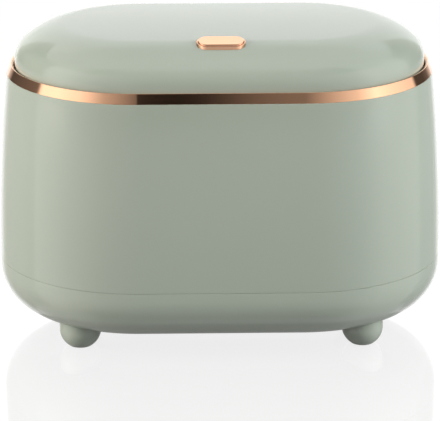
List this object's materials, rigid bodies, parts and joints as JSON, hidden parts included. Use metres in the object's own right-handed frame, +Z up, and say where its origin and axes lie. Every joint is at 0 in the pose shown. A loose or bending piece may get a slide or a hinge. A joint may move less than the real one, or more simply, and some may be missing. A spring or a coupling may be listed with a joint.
{
  "type": "countertop waste bin",
  "caption": "Small stadium-plan countertop bin with a press-button flip lid, a plated trim ring, a lift-out bucket and four ball feet.",
  "frame": {"origin": "on the table under the middle of the bin, at the centre of its footprint", "axes": "+Z up, +X along the bin's length to the right as seen from the front, the front with the latch and button faces -Y, the lid's hinge is at +Y"},
  "size_m": [0.235, 0.15, 0.1677],
  "materials": {
    "sage_plastic": "moulded, glossy",
    "rose_gold_plating": "electroplated plastic, polished",
    "frame_plastic": "moulded, satin",
    "bucket_plastic": "moulded polypropylene, satin",
    "silicone": "soft, matt",
    "spring_steel": "drawn wire and rod",
    "screw_steel": "zinc plated",
    "latch_plastic": "moulded acetal, smooth"
  },
  "bodies": {
    "housing": {"base_shell": "sage_plastic", "body_shell": "sage_plastic", "feet": "sage_plastic", "trim_ring": "rose_gold_plating", "rim_frame": "frame_plastic", "inner_bucket": "bucket_plastic", "hinge_pin": "spring_steel", "lid_spring_left": "spring_steel", "lid_spring_right": "spring_steel", "frame_screws": "screw_steel", "foot_screws": "screw_steel"},
    "lid": {"lid_shell": "sage_plastic", "lid_liner": "frame_plastic", "lid_screws": "screw_steel", "lid_gasket": "silicone", "button_bezel": "rose_gold_plating", "bezel_screws": "screw_steel", "latch_spring": "spring_steel"},
    "button": {"push_button": "rose_gold_plating"},
    "latch": {"latch_bolt": "latch_plastic"}
  },
  "joints": [
    {"name": "lid_hinge", "type": "hinge", "parent": "housing", "child": "lid", "pos_m": [0, 0.0715, 0.149], "axis": [-1, 0, 0], "range_deg": [0, 95], "deforming": ["lid_spring_left", "lid_spring_right"]},
    {"name": "button_press", "type": "slide", "parent": "lid", "child": "button", "axis": [0, 0, -1], "range_m": [0, 0.0025], "stiffness_N_per_m": 600, "springref_m": -0.001},
    {"name": "latch_slide", "type": "slide", "parent": "lid", "child": "latch", "axis": [0, 1, 0], "range_m": [0, 0.0025], "deforming": ["latch_spring"]}
  ],
  "couplings": [
    {"joint": "latch_slide", "follows": "button_press", "ratio": 1}
  ]
}
